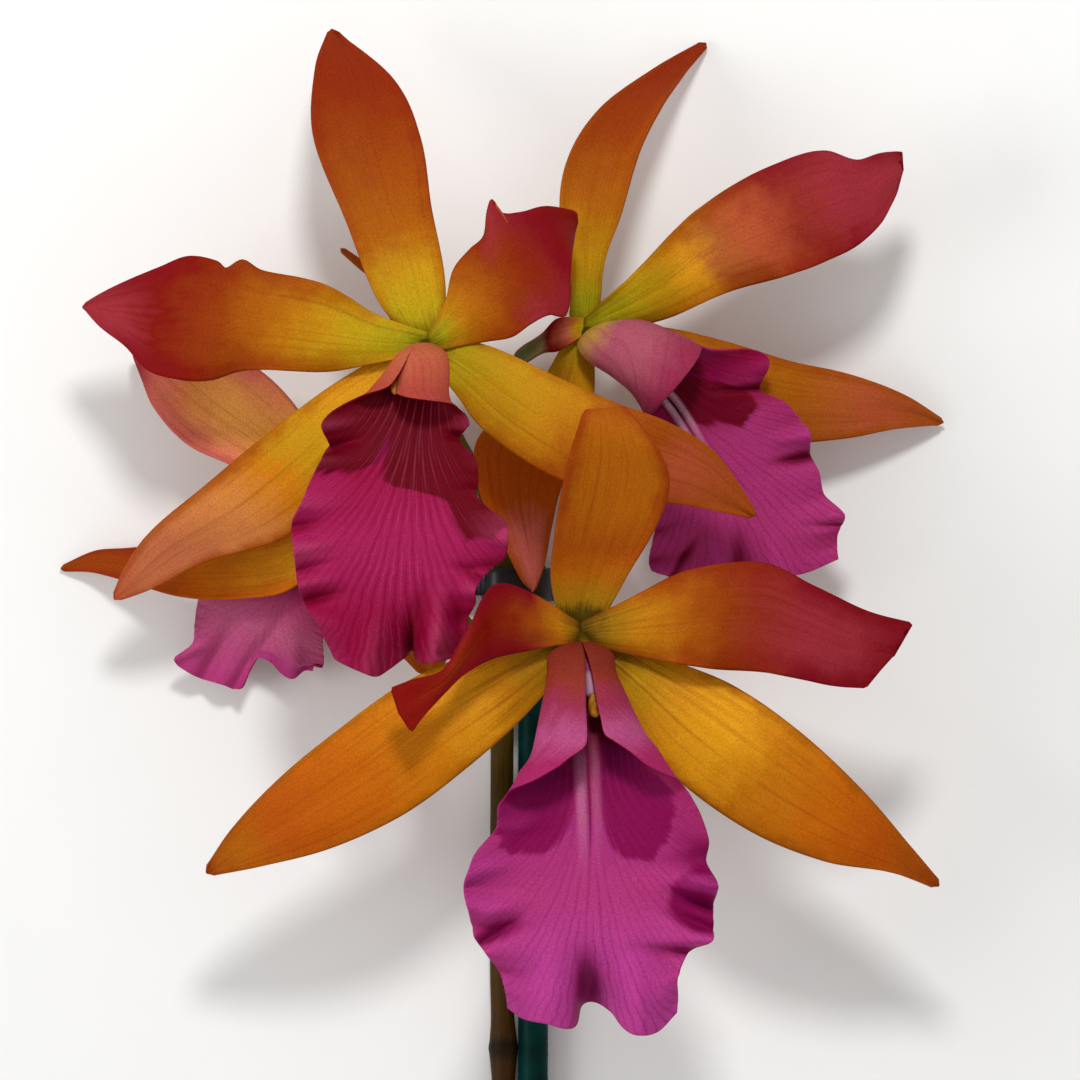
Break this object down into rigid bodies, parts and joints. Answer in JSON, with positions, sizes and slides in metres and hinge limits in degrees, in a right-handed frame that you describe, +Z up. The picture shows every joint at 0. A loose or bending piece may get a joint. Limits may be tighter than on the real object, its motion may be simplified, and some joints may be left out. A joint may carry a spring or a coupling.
{
  "type": "cattleya orchid spray",
  "caption": "Cut orchid spray lying on its back: orange star-shaped blooms with ruffled magenta lips on one stem, clipped to a slim plant stake.",
  "frame": {"origin": "middle of the spray's footprint, on the surface it lies on", "axes": "+Y along the stem towards the blooms, +Z up out of the open blooms, +X to the right seen from above"},
  "size_m": [0.1598, 0.2216, 0.0651],
  "materials": {
    "sepal": "satin",
    "petal": "satin",
    "lip": "matte",
    "column": "satin",
    "anther_cap": "satin",
    "stem": "satin",
    "stake": "satin",
    "clip": "satin"
  },
  "bodies": {
    "root": {"flower_stem": "stem", "stake": "stake", "stake_clip": "clip", "bloom_a_dorsal_sepal": "sepal", "bloom_a_left_petal": "petal", "bloom_a_right_petal": "petal", "bloom_a_left_sepal": "sepal", "bloom_a_right_sepal": "sepal", "bloom_a_lip": "lip", "bloom_a_column": "column", "bloom_a_anther_cap": "anther_cap", "bloom_b_dorsal_sepal": "sepal", "bloom_b_left_petal": "petal", "bloom_b_right_petal": "petal", "bloom_b_left_sepal": "sepal", "bloom_b_right_sepal": "sepal", "bloom_b_lip": "lip", "bloom_b_column": "column", "bloom_b_anther_cap": "anther_cap", "bloom_c_dorsal_sepal": "sepal", "bloom_c_left_petal": "petal", "bloom_c_right_petal": "petal", "bloom_c_left_sepal": "sepal", "bloom_c_right_sepal": "sepal", "bloom_c_lip": "lip", "bloom_c_column": "column", "bloom_c_anther_cap": "anther_cap", "bloom_d_dorsal_sepal": "sepal", "bloom_d_left_petal": "petal", "bloom_d_right_petal": "petal", "bloom_d_left_sepal": "sepal", "bloom_d_right_sepal": "sepal", "bloom_d_lip": "lip", "bloom_d_column": "column", "bloom_d_anther_cap": "anther_cap"}
  },
  "joints": []
}
